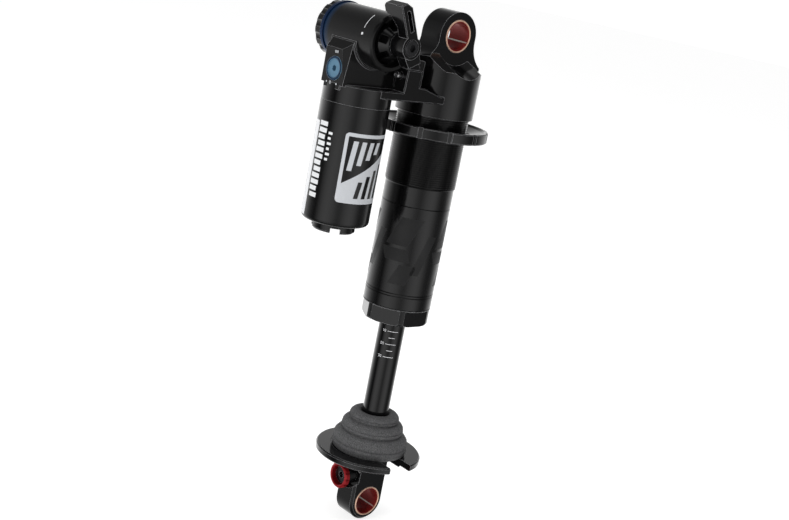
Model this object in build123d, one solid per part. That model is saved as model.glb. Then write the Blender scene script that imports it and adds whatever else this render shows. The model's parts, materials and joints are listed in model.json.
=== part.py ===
from build123d import *
import os
from math import atan2, cos, pi, radians, sin, sqrt

# Rear shock for a mountain bike, coil type, shown without its coil spring.
# Frame: origin at the centre of the lower eyelet's bore, +Z up the damper's axis to the
# upper eyelet, both eyelet bores along Y, and the piggyback reservoir on the -X side.
# All sizes are in millimetres.

# ---- Driving dimensions -------------------------------------------------------------
EYE_TO_EYE = 230.0
STROKE = 65.0
HARDWARE_DIAMETER = 12.7
EYE_WIDTH = 12.7
BUSH_DIAMETER = 15.0
BUSH_WALL = 0.6
SHAFT_DIAMETER = 12.7
RUNNING_GAP = 0.07

# ---- Damper body ----------------------------------------------------------------------
BODY_RADIUS = 16.3
BORE_RADIUS = 13.5
THREAD_RADIUS = 16.8
THREAD_PITCH = 1.0
THREAD_DEPTH = 0.55
SEAL_HEAD_BOTTOM = 93.5
SEAL_HEAD_TOP = 101.5
SEAL_HEAD_FLATS = 29.4
GUIDE_BOTTOM = 102.0
GUIDE_TOP = 110.0
GUIDE_RADIUS = 8.0
OIL_SEAL_BOTTOM = 99.0
OIL_SEAL_RADIUS = 9.2
WIPER_RADIUS = 10.0
WIPER_DEPTH = 3.0
SEAL_BORE = 7.6
RIDGE_Z = 108.3
THREAD_BOTTOM = 159.5
HEAD_RADIUS = 18.3
HEAD_BOTTOM = 193.4
NECK_RADIUS = 15.8
NECK_TOP = 204.0

# ---- Reservoir ------------------------------------------------------------------------
RESERVOIR_X = -47.5
RESERVOIR_RADIUS = 15.45
RESERVOIR_BORE = 13.6
CAN_BOTTOM = 141.5
CAN_TOP = 195.05
SKIRT_TOP = 203.6
CAN_NECK_RADIUS = 14.6
CAN_CORNER = 2.0
CAN_FLOOR = 3.0
CHARGE_VALVE_RADIUS = 5.0
GUARD_BORE = 5.4
GUARD_RADIUS = 9.9
GUARD_DEPTH = 4.1

# ---- Compression valve barrel, which lies along Y across the top of the reservoir ------
BARREL_Z = 224.5
BARREL_RADIUS = 12.45
BARREL_FRONT = -17.8
BARREL_BACK = 15.5
DIAL_BACK = 22.0
LEVER_FRONT = -29.7
LEVER_TILT = 25.5

# ---- Spring preload collar --------------------------------------------------------------
COLLAR_RADIUS = 26.7
COLLAR_BOTTOM = 184.0
COLLAR_TOP = 189.0
COLLAR_NOTCHES = 12
COLLAR_NOTCH_PHASE = 7.5

# ---- Shaft end --------------------------------------------------------------------------
PLATE_RADIUS = 25.8
PLATE_TOP = 26.1
PLATE_BOTTOM = 22.9
PLATE_HUB_BOTTOM = 21.8
BUMPER_SEAT_RADIUS = 18.8
BUMPER_SEAT_Z = 25.8
EYE_HALF_WIDTH = 9.9
DIAL_Z = 13.1
DIAL_RADIUS = 6.37
DIAL_CORE_RADIUS = 4.7
DIAL_SPINDLE_RADIUS = 2.0
DIAL_FRONT = -16.5
DIAL_THICK = 3.0
BUMPER_TOP = 45.4
PISTON_BOTTOM = 116.0
PISTON_TOP = 124.0
PISTON_PIN_RADIUS = 4.5
BAND_BOTTOM = 118.0
BAND_TOP = 122.0
BAND_DEPTH = 1.2
SHAFT_BORE = 2.6
SHAFT_FOOT_RADIUS = 5.5
SHAFT_SHOULDER = 113.6
SHAFT_TOP = 128.0

shaft_radius = SHAFT_DIAMETER / 2
eye_bore = HARDWARE_DIAMETER / 2
eye_half = EYE_WIDTH / 2
bush_radius = BUSH_DIAMETER / 2
liner_radius = bush_radius - BUSH_WALL

FROM_START = (Align.CENTER, Align.CENTER, Align.MIN)


# ---- Building blocks --------------------------------------------------------------------
def rod_z(radius, low, high, x=0.0, y=0.0):
    """Solid round bar along Z."""
    return Pos(x, y, low) * Cylinder(radius, high - low, align=FROM_START)


def rod_y(radius, low, high, x=0.0, z=0.0):
    """Solid round bar along Y."""
    return Pos(x, low, z) * Rot(X=-90) * Cylinder(radius, high - low, align=FROM_START)


def rod_x(radius, low, high, y=0.0, z=0.0):
    """Solid round bar along X."""
    return Pos(low, y, z) * Rot(Y=90) * Cylinder(radius, high - low, align=FROM_START)


def ring_z(outer, inner, low, high, x=0.0):
    return rod_z(outer, low, high, x) - rod_z(inner, low - 1, high + 1, x)


def ring_y(outer, inner, low, high, x=0.0, z=0.0):
    return rod_y(outer, low, high, x, z) - rod_y(inner, low - 1, high + 1, x, z)


def block(x_low, x_high, y_low, y_high, z_low, z_high):
    """Box between two corners."""
    size = Box(x_high - x_low, y_high - y_low, z_high - z_low)
    return Pos((x_low + x_high) / 2, (y_low + y_high) / 2, (z_low + z_high) / 2) * size


def turned(points, x=0.0):
    """Solid of revolution about the Z axis from (radius, height) points."""
    face = make_face(Polyline([(r, 0, z) for r, z in points], close=True))
    return Pos(x, 0, 0) * revolve(face, Axis.Z)


def slab(points, y_low, y_high):
    """Plate with the given (x, z) outline, between two depths in Y."""
    face = make_face(Polyline([(x, y_low, z) for x, z in points], close=True))
    return extrude(face, amount=y_high - y_low, dir=(0, 1, 0))


def around_z(piece, count, phase=0.0, x=0.0):
    """Copies of a piece, evenly spaced round a vertical axis through (x, 0)."""
    turns = [phase + 360.0 * n / count for n in range(count)]
    copies = [Pos(x, 0, 0) * Rot(Z=turn) * Pos(-x, 0, 0) * piece for turn in turns]
    return Compound(copies)


def around_barrel(piece, count, phase=0.0):
    """Copies of a piece, evenly spaced round the compression barrel's axis."""
    turns = [phase + 360.0 * n / count for n in range(count)]
    to_axis = Pos(RESERVOIR_X, 0, BARREL_Z)
    back = Pos(-RESERVOIR_X, 0, -BARREL_Z)
    return Compound([to_axis * Rot(Y=turn) * back * piece for turn in turns])


def hexagon_z(across_flats, low, high, x=0.0):
    face = RegularPolygon(across_flats / 2, 6, major_radius=False)
    return Pos(x, 0, low) * extrude(face, amount=high - low)


def hexagon_x(across_flats, low, high, z):
    face = RegularPolygon(across_flats / 2, 6, major_radius=False)
    return Pos(low, 0, z) * Rot(Y=90) * extrude(face, amount=high - low)


def hexagon_y(across_flats, low, high, x, z):
    face = RegularPolygon(across_flats / 2, 6, major_radius=False)
    return Pos(x, low, z) * Rot(X=-90) * extrude(face, amount=high - low)


# ---- Head casting: upper eyelet, damper head, bridge and valve housing --------------------
EYE_RADIUS = 11.0
FLARE_RADIUS = 13.6
BRIDGE_FLARE_RADIUS = 8.5
FLARE_START = 228.0
SPOT_FACE_RADIUS = 13.3
POCKET_RIM_RADIUS = 17.9
POCKET_X = 0.6
SPOT_EDGE_X = 8.6
SPOT_EDGE_Z = 219.4
SPOT_SLOPE_X = 0.408
SPOT_SLOPE_Y = 0.348
SPOT_SLOPE_Z = 0.845
SLOPE_MEETING_X = 4.0
SLOPE_TOP_Z = 221.4
SLOPE_FOOT_Y = 14.5
RIM_Z = 214.5
BRIDGE_FRONT = -15.5
BRIDGE_BACK = 12.0
BRIDGE_BOTTOM = 199.8
POST_BACK = -8.0
UPPER_POST_FRONT = -13.6
WEB_HALF = 6.5
EDGE_BEVEL = 0.45
HOUSING_HALF = 7.5
HOUSING_TOP = 222.0
LIP_PROUD = 1.1
LIP_HEIGHT = 1.2
LIP_LEFT = -60.2
LIP_RIGHT = -33.0
FACET_X = -62.7
FACET_BOTTOM = 200.8
FACET_TOP = 218.0
FACET_PAD = 5.4
CORNER_SLOPE = (-0.92, -0.377, 0.11)
ADJUSTER_Z = 209.3
ADJUSTER_RADIUS = 5.15


def flare(side, radius):
    """Curve that widens one side of the eyelet into the head, from the bottom up."""
    centre_x = EYE_RADIUS + radius
    reach = min(HEAD_RADIUS, centre_x)
    start = atan2(-sqrt(radius**2 - (centre_x - reach) ** 2), reach - centre_x)
    middle = (start - pi) / 2
    points = [(side * (centre_x + radius * cos(turn)), FLARE_START + radius * sin(turn))
              for turn in (start, middle, -pi)]
    return ThreePointArc(*points)


def eyelet_and_head():
    """Round head whose top sweeps up into the upper eyelet, wider towards the bridge."""
    right = flare(1, FLARE_RADIUS)
    left = flare(-1, BRIDGE_FLARE_RADIUS)
    outline = Line((-HEAD_RADIUS, HEAD_BOTTOM), (HEAD_RADIUS, HEAD_BOTTOM))
    outline += Line((HEAD_RADIUS, HEAD_BOTTOM), right @ 0)
    outline += right
    outline += Line(right @ 1, (EYE_RADIUS, EYE_TO_EYE))
    crown = (0, EYE_TO_EYE + EYE_RADIUS)
    outline += ThreePointArc((EYE_RADIUS, EYE_TO_EYE), crown, (-EYE_RADIUS, EYE_TO_EYE))
    outline += Line((-EYE_RADIUS, EYE_TO_EYE), left @ 1)
    outline += left
    outline += Line(left @ 0, (-HEAD_RADIUS, HEAD_BOTTOM))
    profile = Plane.XZ * make_face(outline)
    wall = extrude(profile, amount=HEAD_RADIUS, both=True)
    head = wall & rod_z(HEAD_RADIUS, HEAD_BOTTOM, EYE_TO_EYE + 2 * EYE_RADIUS)
    for side in (-1, 1):
        head -= shoulder_cutter(side)
    return head


def shoulder_cutter(side):
    """Cut beside the eyelet: slopes to its left and right, and a conical spot-face pocket."""
    slope = [(eye_half, SLOPE_TOP_Z), (SLOPE_FOOT_Y, RIM_Z), (HEAD_RADIUS + 2, RIM_Z),
             (HEAD_RADIUS + 2, EYE_TO_EYE + 20), (eye_half, EYE_TO_EYE + 20)]
    face = make_face(Polyline([(-20, side * y, z) for y, z in slope], close=True))
    left_slope = extrude(face, amount=20 + SLOPE_MEETING_X, dir=(1, 0, 0))
    uphill = (SPOT_SLOPE_X, side * SPOT_SLOPE_Y, SPOT_SLOPE_Z)
    tilt = Plane((SPOT_EDGE_X, side * eye_half, SPOT_EDGE_Z), z_dir=uphill)
    beside = sorted((side * eye_half, side * (HEAD_RADIUS + 2)))
    right_slope = tilt * Box(60, 60, 30, align=FROM_START)
    right_slope &= block(SLOPE_MEETING_X, HEAD_RADIUS + 2, *beside, HEAD_BOTTOM, EYE_TO_EYE + 20)
    near = Plane((POCKET_X, side * eye_half, EYE_TO_EYE), x_dir=(1, 0, 0), z_dir=(0, side, 0))
    far = near.offset(HEAD_RADIUS - eye_half + 0.5)
    pocket = loft([near * Circle(SPOT_FACE_RADIUS), far * Circle(POCKET_RIM_RADIUS)])
    return left_slope + right_slope + pocket


def bevel_front(piece, front, size):
    """Bevel the outline of a piece's front face."""
    return chamfer([edge for edge in piece.edges() if abs(edge.center().Y - front) < 0.01], size)


def bridge():
    """Arm from the head to the valve housing, with the post that carries the lever's stop."""
    floor = slab([(RESERVOIR_X, BRIDGE_BOTTOM), (-6, BRIDGE_BOTTOM), (-6, 203.4), (-12.7, 203.4),
                  (-21.9, 206.2), (-25.8, 206.5), (-34.6, SKIRT_TOP), (RESERVOIR_X, SKIRT_TOP)],
                 BRIDGE_FRONT, BRIDGE_BACK)
    post = slab([(-34.6, 201.0), (-25.8, 201.0), (-25.6, 213.8), (-34.0, 213.8)],
                BRIDGE_FRONT, POST_BACK)
    upper_post = slab([(-33.4, 205.0), (-25.6, 205.0), (-25.6, 215.0), (-29.6, 220.2), (-33.4, 220.2)],
                      UPPER_POST_FRONT, WEB_HALF)
    web = slab([(-38.0, 203.0), (-10.0, 203.0), (-10.0, 217.5), (-17.0, 217.0), (-38.0, 219.5)],
               -WEB_HALF, WEB_HALF)
    floor = bevel_front(floor, BRIDGE_FRONT, EDGE_BEVEL)
    post = bevel_front(post, BRIDGE_FRONT, EDGE_BEVEL)
    upper_post = bevel_front(upper_post, UPPER_POST_FRONT, EDGE_BEVEL)
    return floor + post + upper_post + web


def valve_housing():
    """Block over the reservoir that cradles the compression barrel."""
    skirt = rod_z(RESERVOIR_RADIUS, CAN_TOP + 0.05, SKIRT_TOP, RESERVOIR_X)
    skirt = chamfer(skirt.edges().filter_by(GeomType.CIRCLE).sort_by(Axis.Z)[-1], EDGE_BEVEL)
    body = slab([(FACET_X, SKIRT_TOP - 1), (-34.6, SKIRT_TOP - 1), (-34.6, HOUSING_TOP),
                 (FACET_X + 2.6, HOUSING_TOP), (FACET_X, FACET_TOP)], -HOUSING_HALF, HOUSING_HALF)
    corner = Plane((FACET_X, -HOUSING_HALF, SKIRT_TOP), z_dir=CORNER_SLOPE)
    body -= corner * Box(60, 60, 20, align=FROM_START)
    pad = block(FACET_X, RESERVOIR_X, -FACET_PAD, FACET_PAD, FACET_BOTTOM, SKIRT_TOP)
    cradle_half = HOUSING_HALF + LIP_PROUD
    cradle = rod_y(BARREL_RADIUS + LIP_HEIGHT, -cradle_half, cradle_half, RESERVOIR_X, BARREL_Z)
    cradle = chamfer(cradle.edges().filter_by(GeomType.CIRCLE), 0.5)
    cradle &= block(LIP_LEFT, LIP_RIGHT, -cradle_half, cradle_half, SKIRT_TOP, HOUSING_TOP + LIP_HEIGHT / 2)
    return skirt + body + pad + cradle


def head_casting():
    casting = eyelet_and_head() + bridge() + valve_housing()
    casting -= rod_y(bush_radius, -20, 20, 0, EYE_TO_EYE)
    casting -= rod_z(NECK_RADIUS, HEAD_BOTTOM - 1, NECK_TOP)
    casting -= rod_z(CAN_NECK_RADIUS, CAN_TOP - 1, SKIRT_TOP - 1.2, RESERVOIR_X)
    casting -= rod_y(BARREL_RADIUS, -20, 20, RESERVOIR_X, BARREL_Z)
    casting -= rod_x(ADJUSTER_RADIUS + 0.1, FACET_X - 1, FACET_X + 1.0, 0, ADJUSTER_Z)
    casting -= rod_x(2.6, FACET_X, FACET_X + 4.7, 0, ADJUSTER_Z)
    casting -= rod_x(STOP_RADIUS, -36, STOP_END, STOP_Y, STOP_Z)
    return casting


# ---- Damper ---------------------------------------------------------------------------------
def threaded_outline():
    """Tube's outside from bottom to top: plain body, then thread crests and roots."""
    points = [(BODY_RADIUS - 0.3, SEAL_HEAD_TOP + 0.05), (BODY_RADIUS, SEAL_HEAD_TOP + 0.35)]
    for ridge in (RIDGE_Z - 0.6, RIDGE_Z + 0.6):
        points += [(BODY_RADIUS, ridge - 0.25), (BODY_RADIUS - 0.2, ridge),
                   (BODY_RADIUS, ridge + 0.25)]
    points += [(BODY_RADIUS, THREAD_BOTTOM)]
    turns = int((HEAD_BOTTOM - 1.0 - THREAD_BOTTOM) / THREAD_PITCH)
    flat = THREAD_PITCH * 0.12
    for n in range(turns):
        crest = THREAD_BOTTOM + (n + 0.5) * THREAD_PITCH
        points += [(THREAD_RADIUS - THREAD_DEPTH, crest - THREAD_PITCH / 2 + flat),
                   (THREAD_RADIUS, crest - flat), (THREAD_RADIUS, crest + flat),
                   (THREAD_RADIUS - THREAD_DEPTH, crest + THREAD_PITCH / 2 - flat)]
    return points


def damper_tube():
    points = threaded_outline()
    points += [(THREAD_RADIUS - THREAD_DEPTH, HEAD_BOTTOM), (NECK_RADIUS, HEAD_BOTTOM),
               (NECK_RADIUS, NECK_TOP), (BORE_RADIUS, NECK_TOP), (BORE_RADIUS, SEAL_HEAD_TOP + 0.05)]
    return turned(points)


def seal_head():
    """Hexagonal end cap that screws into the tube and guides the shaft."""
    bottom = SEAL_HEAD_BOTTOM
    cap = turned([(0, bottom), (BODY_RADIUS - 1.2, bottom), (BODY_RADIUS - 0.4, bottom + 0.4),
                  (BODY_RADIUS, bottom + 1.2), (BODY_RADIUS, SEAL_HEAD_TOP),
                  (BORE_RADIUS, SEAL_HEAD_TOP), (BORE_RADIUS, GUIDE_TOP), (0, GUIDE_TOP)])
    outside = ring_z(BODY_RADIUS + 5, BORE_RADIUS, bottom - 1, SEAL_HEAD_TOP - 0.4)
    cap -= outside - hexagon_z(SEAL_HEAD_FLATS, bottom - 2, SEAL_HEAD_TOP)
    cap -= rod_z(WIPER_RADIUS, bottom - 1, bottom + WIPER_DEPTH)
    cap -= rod_z(SEAL_BORE, bottom, GUIDE_BOTTOM + 1)
    cap -= rod_z(OIL_SEAL_RADIUS, OIL_SEAL_BOTTOM, GUIDE_BOTTOM)
    cap -= rod_z(GUIDE_RADIUS, GUIDE_BOTTOM, GUIDE_TOP + 1)
    return cap


def wiper_seal():
    bore = shaft_radius + RUNNING_GAP
    bottom = SEAL_HEAD_BOTTOM
    outside = WIPER_RADIUS - 0.05
    top = bottom + WIPER_DEPTH - 0.05
    return turned([(bore, bottom + 0.3), (bore + 0.98, bottom - 0.3), (8.6, bottom - 0.1),
                   (outside, bottom + 0.2), (outside, top), (bore, top)])


def oil_seal():
    return ring_z(OIL_SEAL_RADIUS - 0.05, shaft_radius + RUNNING_GAP, OIL_SEAL_BOTTOM + 0.05,
                  GUIDE_BOTTOM - 0.05)


def shaft_guide_bush():
    return ring_z(GUIDE_RADIUS, shaft_radius + RUNNING_GAP, GUIDE_BOTTOM + 0.05, GUIDE_TOP)


def top_out_bumper():
    return ring_z(11.5, shaft_radius + 0.4, GUIDE_TOP, GUIDE_TOP + 3.2)


# ---- Reservoir ------------------------------------------------------------------------------
def reservoir_can():
    corner = RESERVOIR_RADIUS - CAN_CORNER
    points = [(CHARGE_VALVE_RADIUS, CAN_BOTTOM), (corner, CAN_BOTTOM)]
    for step in range(1, 5):
        turn = radians(90.0 * step / 4)
        points.append((corner + CAN_CORNER * sin(turn), CAN_BOTTOM + CAN_CORNER * (1 - cos(turn))))
    neck_top = SKIRT_TOP - 1.3
    points += [(RESERVOIR_RADIUS, CAN_TOP), (CAN_NECK_RADIUS, CAN_TOP), (CAN_NECK_RADIUS, neck_top),
               (RESERVOIR_BORE, neck_top), (RESERVOIR_BORE, CAN_BOTTOM + CAN_FLOOR),
               (CHARGE_VALVE_RADIUS, CAN_BOTTOM + CAN_FLOOR)]
    return turned(points, RESERVOIR_X)


def charge_valve():
    body = rod_z(CHARGE_VALVE_RADIUS, CAN_BOTTOM - 0.5, CAN_BOTTOM + CAN_FLOOR, RESERVOIR_X)
    body += rod_z(7.0, CAN_BOTTOM + CAN_FLOOR, CAN_BOTTOM + CAN_FLOOR + 2.0, RESERVOIR_X)
    body += rod_z(2.6, CAN_BOTTOM - 3.0, CAN_BOTTOM + 1.0, RESERVOIR_X)
    return body - rod_z(1.2, CAN_BOTTOM - 4.0, CAN_BOTTOM + 6.0, RESERVOIR_X)


def valve_guard():
    """Castellated ring under the can, round the charging valve."""
    top = CAN_BOTTOM - 0.05
    foot = CAN_BOTTOM - GUARD_DEPTH
    guard = turned([(GUARD_BORE, top), (GUARD_RADIUS, top), (GUARD_RADIUS, foot + 0.7),
                    (GUARD_RADIUS - 0.6, foot), (GUARD_BORE + 1.0, foot), (GUARD_BORE, foot + 0.7)],
                   RESERVOIR_X)
    slot = block(RESERVOIR_X + 4, RESERVOIR_X + 12, -2.2, 2.2, CAN_BOTTOM - 6, CAN_BOTTOM - 1.8)
    return guard - around_z(slot, 4, 57.0, RESERVOIR_X)


FLOATING_BOTTOM = 176.0
FLOATING_TOP = 187.0
FLOATING_CUP_RADIUS = 10.5
FLOATING_CUP_DEPTH = 4.0
FLOATING_GROOVE_LOW = 180.3
FLOATING_GROOVE_HIGH = 182.8
FLOATING_GROOVE_DEPTH = 1.6


def floating_piston():
    radius = RESERVOIR_BORE - RUNNING_GAP
    root = radius - FLOATING_GROOVE_DEPTH
    cup_top = FLOATING_BOTTOM + FLOATING_CUP_DEPTH
    return turned([(0, cup_top), (FLOATING_CUP_RADIUS, cup_top), (FLOATING_CUP_RADIUS, FLOATING_BOTTOM),
                   (radius, FLOATING_BOTTOM), (radius, FLOATING_GROOVE_LOW), (root, FLOATING_GROOVE_LOW),
                   (root, FLOATING_GROOVE_HIGH), (radius, FLOATING_GROOVE_HIGH),
                   (radius, FLOATING_TOP - 0.6), (radius - 0.6, FLOATING_TOP), (0, FLOATING_TOP)],
                  RESERVOIR_X)


def floating_piston_seal():
    radius = RESERVOIR_BORE - RUNNING_GAP
    return ring_z(radius + 0.03, radius - FLOATING_GROOVE_DEPTH, FLOATING_GROOVE_LOW + 0.05,
                  FLOATING_GROOVE_HIGH - 0.05, RESERVOIR_X)


# ---- Compression valve ------------------------------------------------------------------------
STOP_START = -37.0
STOP_END = -30.0
STOP_Y = -11.0
STOP_Z = 210.5
STOP_RADIUS = 1.6
NEEDLE_RADIUS = 1.6
SPINDLE_RADIUS = 3.0
LEVER_HUB_RADIUS = 4.95
DISH_RADIUS = 10.4
DISH_FLOOR = -13.2
VALVE_RADIUS = 8.5
CHAMBER_FRONT = -11.2
CHAMBER_BACK = 11.0
KNOB_STEM_RADIUS = 4.0
KNOB_RADIUS = 12.6
KNOB_FRONT = 17.3
KNOB_BOSS_RADIUS = 9.0
LEVER_BOLT_SEAT = -28.0
ARM_LEFT = -1.4
ARM_RIGHT = 4.3
ARM_TOP = 19.2
ARM_DEPTH = 5.6
PADDLE_HEIGHT = 5.2
PADDLE_BACK = -17.9
SLOT_LEFT = 0.75
SLOT_RIGHT = 2.6
SLOT_LOW = 6.6
SLOT_HIGH = 15.9


def compression_barrel():
    """Round barrel with a deep dish at its lever end."""
    barrel = rod_y(BARREL_RADIUS, BARREL_FRONT, BARREL_BACK, RESERVOIR_X, BARREL_Z)
    barrel = chamfer(barrel.edges().filter_by(GeomType.CIRCLE).sort_by(Axis.Y)[0], 0.7)
    barrel -= rod_y(DISH_RADIUS, BARREL_FRONT - 1, DISH_FLOOR, RESERVOIR_X, BARREL_Z)
    barrel -= rod_y(VALVE_RADIUS, CHAMBER_FRONT, CHAMBER_BACK, RESERVOIR_X, BARREL_Z)
    barrel -= rod_y(SPINDLE_RADIUS + RUNNING_GAP, -14, -10, RESERVOIR_X, BARREL_Z)
    barrel -= rod_y(KNOB_STEM_RADIUS + RUNNING_GAP, 10, 16, RESERVOIR_X, BARREL_Z)
    return barrel


def compression_valve():
    """Valve piston fixed in the middle of the barrel, with its oil ports."""
    piston = rod_y(VALVE_RADIUS, -4.5, 3.5, RESERVOIR_X, BARREL_Z)
    piston -= rod_y(NEEDLE_RADIUS + RUNNING_GAP, -6, 6, RESERVOIR_X, BARREL_Z)
    port = rod_y(1.1, -6, 6, RESERVOIR_X + 5.4, BARREL_Z)
    return piston - around_barrel(port, 6)


def compression_shims():
    """Stack of spring-steel discs on the valve's lever side."""
    stack = [ring_y(radius, NEEDLE_RADIUS + RUNNING_GAP, low, low + 0.25, RESERVOIR_X, BARREL_Z)
             for radius, low in ((7.4, -4.75), (6.2, -5.0), (5.0, -5.25), (3.8, -5.5))]
    return Compound(stack)


def lever_bezel():
    """Coned plate behind the lever, cut into six fins."""
    cone = rod_y(10.35, -14.6, -13.25, RESERVOIR_X, BARREL_Z)
    start = Plane((RESERVOIR_X, -14.6, BARREL_Z), x_dir=(1, 0, 0), z_dir=(0, -1, 0))
    cone += loft([start * Circle(9.6), start.offset(6.4) * Circle(5.4)])
    gap = Pos(RESERVOIR_X + 8.4, -19.0, BARREL_Z) * Box(5.2, 8.8, 3.4)
    cone -= around_barrel(gap, 6, 12.0)
    return cone - rod_y(SPINDLE_RADIUS + RUNNING_GAP, -25, -10, RESERVOIR_X, BARREL_Z)


def lever_frame(piece):
    """Turn a lever piece, modelled upright, to the lever's rest angle."""
    to_axis = Pos(RESERVOIR_X, 0, BARREL_Z)
    return to_axis * Rot(Y=-LEVER_TILT) * piece


def threshold_lever():
    """Hub, slotted arm and finger paddle, modelled upright about the barrel's axis."""
    front = LEVER_FRONT
    arm = slab([(ARM_LEFT, 0), (ARM_RIGHT, 0), (ARM_RIGHT, ARM_TOP - 2.7), (ARM_RIGHT - 2.4, ARM_TOP),
                (ARM_LEFT + 0.4, ARM_TOP), (ARM_LEFT, ARM_TOP - 0.4)], front, front + ARM_DEPTH)
    arm = bevel_front(arm, front, 0.4)
    paddle_low = ARM_TOP - PADDLE_HEIGHT
    paddle = block(ARM_LEFT, ARM_RIGHT - 2.4, front + 4, PADDLE_BACK, paddle_low, ARM_TOP)
    paddle = chamfer(paddle.edges().filter_by(Axis.X).sort_by(Axis.Y)[-2:], 1.3)
    brace = extrude(make_face(Polyline([(ARM_LEFT, front + ARM_DEPTH - 0.1, paddle_low + 0.1),
                                        (ARM_LEFT, front + 9.0, paddle_low + 0.1),
                                        (ARM_LEFT, front + ARM_DEPTH - 0.1, paddle_low - 5.0)],
                                       close=True)), amount=3.0, dir=(1, 0, 0))
    heel = slab([(-4.4, 0), (4.6, 0), (4.0, -8.4), (-2.6, -8.4)], front + 1.0, front + 6.5)
    slot = slab([(SLOT_LEFT, SLOT_LOW), (SLOT_RIGHT, SLOT_LOW), (SLOT_RIGHT, SLOT_HIGH - 0.6),
                 (SLOT_RIGHT - 0.6, SLOT_HIGH), (SLOT_LEFT, SLOT_HIGH)], front - 1, front + 4.2)
    lever = lever_frame(arm + paddle + brace + heel - slot)
    lever += rod_y(LEVER_HUB_RADIUS, front, -21.2, RESERVOIR_X, BARREL_Z)
    lever -= rod_y(SPINDLE_RADIUS, LEVER_BOLT_SEAT, -20, RESERVOIR_X, BARREL_Z)
    return lever - rod_y(3.65, front - 1, LEVER_BOLT_SEAT, RESERVOIR_X, BARREL_Z)


def lever_spindle():
    spindle = rod_y(SPINDLE_RADIUS, LEVER_BOLT_SEAT, -7.0, RESERVOIR_X, BARREL_Z)
    return spindle - rod_y(1.5, -29, -20, RESERVOIR_X, BARREL_Z)


def lever_bolt():
    bolt = rod_y(3.5, -30.3, LEVER_BOLT_SEAT, RESERVOIR_X, BARREL_Z)
    bolt = chamfer(bolt.edges().filter_by(GeomType.CIRCLE).sort_by(Axis.Y)[0], 0.4)
    bolt += rod_y(1.5, LEVER_BOLT_SEAT, -20.5, RESERVOIR_X, BARREL_Z)
    return bolt - hexagon_y(3.0, -31.0, -28.8, RESERVOIR_X, BARREL_Z)


def low_speed_ring():
    return ring_y(BARREL_RADIUS + 0.5, KNOB_BOSS_RADIUS, BARREL_BACK + 0.08, KNOB_FRONT, RESERVOIR_X,
                  BARREL_Z)


def low_speed_knob():
    """Scalloped finger dial on the back of the barrel, on a stem."""
    knob = rod_y(KNOB_RADIUS, KNOB_FRONT, DIAL_BACK, RESERVOIR_X, BARREL_Z)
    knob = chamfer(knob.edges().filter_by(GeomType.CIRCLE).sort_by(Axis.Y)[-1], 0.8)
    scallop = rod_y(1.9, 16, 24, RESERVOIR_X + 13.7, BARREL_Z)
    knob -= around_barrel(scallop, 14, 6.0)
    knob += rod_y(KNOB_BOSS_RADIUS, BARREL_BACK + 0.08, KNOB_FRONT, RESERVOIR_X, BARREL_Z)
    knob += rod_y(KNOB_STEM_RADIUS, 7.0, 17.0, RESERVOIR_X, BARREL_Z)
    knob -= hexagon_y(3.0, 19.0, 23.0, RESERVOIR_X, BARREL_Z)
    return knob - rod_y(NEEDLE_RADIUS + RUNNING_GAP, 6.0, 14.0, RESERVOIR_X, BARREL_Z)


def low_speed_needle():
    needle = rod_y(NEEDLE_RADIUS, -4.0, 13.0, RESERVOIR_X, BARREL_Z)
    return chamfer(needle.edges().filter_by(GeomType.CIRCLE).sort_by(Axis.Y)[0], 1.0)


def high_speed_adjuster():
    """Small dished dial with a hexagon socket, on the end of the valve housing."""
    front = FACET_X - 0.4
    disc = rod_x(ADJUSTER_RADIUS, front, FACET_X + 0.95, 0, ADJUSTER_Z)
    disc = chamfer(disc.edges().filter_by(GeomType.CIRCLE).sort_by(Axis.X)[0], 0.3)
    disc -= rod_x(4.1, front - 1, FACET_X, 0, ADJUSTER_Z)
    disc += rod_x(2.5, FACET_X, FACET_X + 4.6, 0, ADJUSTER_Z)
    return disc - hexagon_x(2.5, front - 1, FACET_X + 1.8, ADJUSTER_Z)


def stop_screw():
    """Small screw in the post, for the lever's stop."""
    screw = rod_x(STOP_RADIUS, STOP_START, STOP_END, STOP_Y, STOP_Z)
    screw = chamfer(screw.edges().filter_by(GeomType.CIRCLE).sort_by(Axis.X)[0], 0.3)
    socket = Pos(STOP_START - 1, STOP_Y, STOP_Z) * Rot(Y=90) * extrude(
        RegularPolygon(0.75, 6, major_radius=False), amount=2.4)
    return screw - socket


# ---- Eyelet bushes ------------------------------------------------------------------------------
def bush_shell(z):
    return ring_y(bush_radius, liner_radius, -eye_half, eye_half, 0, z)


def bush_liner(z):
    return ring_y(liner_radius, eye_bore, -eye_half, eye_half, 0, z)


# ---- Preload collar -------------------------------------------------------------------------------
def preload_collar():
    """Dished collar with grip notches, threaded on the damper tube."""
    bore = THREAD_RADIUS + 0.09
    collar = turned([(bore, COLLAR_BOTTOM + 1.6), (bore + 1.4, COLLAR_BOTTOM + 1.6),
                     (bore + 1.4, COLLAR_BOTTOM), (COLLAR_RADIUS - 0.5, COLLAR_BOTTOM),
                     (COLLAR_RADIUS, COLLAR_BOTTOM + 0.5), (COLLAR_RADIUS, COLLAR_TOP - 0.4),
                     (COLLAR_RADIUS - 0.4, COLLAR_TOP), (COLLAR_RADIUS - 1.4, COLLAR_TOP),
                     (COLLAR_RADIUS - 2.6, COLLAR_TOP - 0.9), (bore + 1.8, COLLAR_TOP - 2.6),
                     (bore, COLLAR_TOP - 2.6)])
    notch = block(COLLAR_RADIUS - 0.9, COLLAR_RADIUS + 2, -1.1, 1.1, COLLAR_BOTTOM - 1, COLLAR_TOP + 1)
    return collar - around_z(notch, COLLAR_NOTCHES, COLLAR_NOTCH_PHASE)


def collar_friction_ring():
    bore = THREAD_RADIUS + 0.06
    return ring_z(THREAD_RADIUS + 1.42, bore, COLLAR_BOTTOM + 0.15, COLLAR_BOTTOM + 1.5)


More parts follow.
